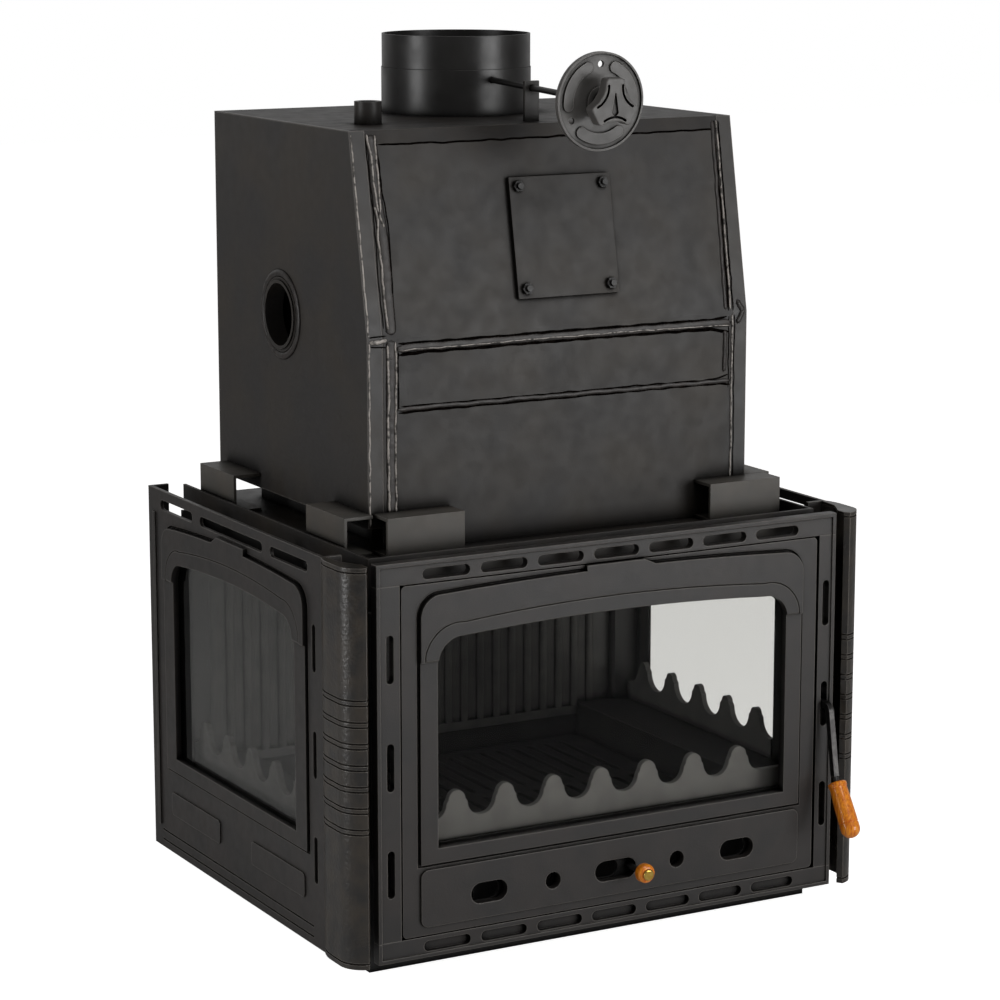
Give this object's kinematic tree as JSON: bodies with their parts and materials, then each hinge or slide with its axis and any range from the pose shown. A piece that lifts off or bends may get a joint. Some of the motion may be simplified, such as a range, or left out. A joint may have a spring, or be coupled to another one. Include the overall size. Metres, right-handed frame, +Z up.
{
  "type": "fireplace insert with boiler",
  "caption": "Three-sided glass fireplace insert with a swing door, air slider and lever handle, under a welded boiler with flue collar and damper.",
  "frame": {"origin": "on the floor, under the middle of the whole stove", "axes": "+Z up, +X to the right along the front, -Y out of the door's face"},
  "size_m": [0.7586, 0.694, 1.143],
  "materials": {
    "black_casting": "satin",
    "boiler_steel": "satin",
    "flue_steel": "satin",
    "inner_steel": "matt",
    "fire_casting": "matt",
    "zinc_steel": "satin",
    "lever_steel": "satin",
    "glass": "clear",
    "grip_wood": "gloss",
    "knob_wood": "gloss",
    "cap_brass": "polished",
    "damper_casting": "satin"
  },
  "bodies": {
    "stove": {"base_floor": "inner_steel", "base_side_walls": "inner_steel", "base_front_wall": "inner_steel", "back_wall": "inner_steel", "pan_runners": "inner_steel", "ash_pan": "inner_steel", "hearth": "fire_casting", "grate": "fire_casting", "firebox_top": "boiler_steel", "left_window_walls": "inner_steel", "right_window_walls": "inner_steel", "back_liner": "fire_casting", "front_guard": "fire_casting", "left_guard": "fire_casting", "right_guard": "fire_casting", "surround_top": "black_casting", "surround_bottom": "black_casting", "surround_left": "black_casting", "surround_right": "black_casting", "hinge_pins": "zinc_steel", "handle_bracket": "inner_steel", "left_side_panel": "black_casting", "right_side_panel": "black_casting", "left_side_glass": "glass", "right_side_glass": "glass", "left_glass_strips": "inner_steel", "right_glass_strips": "inner_steel", "left_column": "black_casting", "right_column": "black_casting", "boiler_left": "boiler_steel", "boiler_right": "boiler_steel", "boiler_back": "boiler_steel", "boiler_front_lower": "boiler_steel", "boiler_front_middle": "boiler_steel", "boiler_front_upper": "boiler_steel", "boiler_top": "boiler_steel", "inner_jacket": "inner_steel", "inner_top": "inner_steel", "flue_neck": "inner_steel", "jacket_floor": "inner_steel", "boiler_feet": "boiler_steel", "cover_plate": "boiler_steel", "cover_bolts": "zinc_steel", "flue_collar": "flue_steel", "rod_bracket": "boiler_steel", "rosette": "damper_casting", "side_port": "boiler_steel", "top_port": "boiler_steel"},
    "door": {"door_leaf": "black_casting", "door_glass": "glass", "door_glass_clips": "inner_steel"},
    "air_control": {"air_slider": "inner_steel", "slider_knob": "knob_wood", "slider_cap": "cap_brass"},
    "door_handle": {"handle_lever": "lever_steel", "handle_grip": "grip_wood"},
    "damper": {"damper_blade": "inner_steel", "damper_rod": "inner_steel", "damper_knob": "damper_casting"}
  },
  "joints": [
    {"name": "door_swing", "type": "hinge", "parent": "stove", "child": "door", "pos_m": [-0.297, -0.26346, 0.277], "axis": [0, 0, -1], "range_deg": [0, 110]},
    {"name": "air_slide", "type": "slide", "parent": "door", "child": "air_control", "axis": [-1, 0, 0], "range_m": [0, 0.05]},
    {"name": "handle_lift", "type": "hinge", "parent": "stove", "child": "door_handle", "pos_m": [0.324, -0.24496, 0.275], "axis": [-1, 0, 0], "range_deg": [0, 40]},
    {"name": "damper_turn", "type": "hinge", "parent": "stove", "child": "damper", "pos_m": [0, 0.15004, 1.09], "axis": [0, -0.9991, -0.0419], "range_deg": [0, 90]}
  ]
}
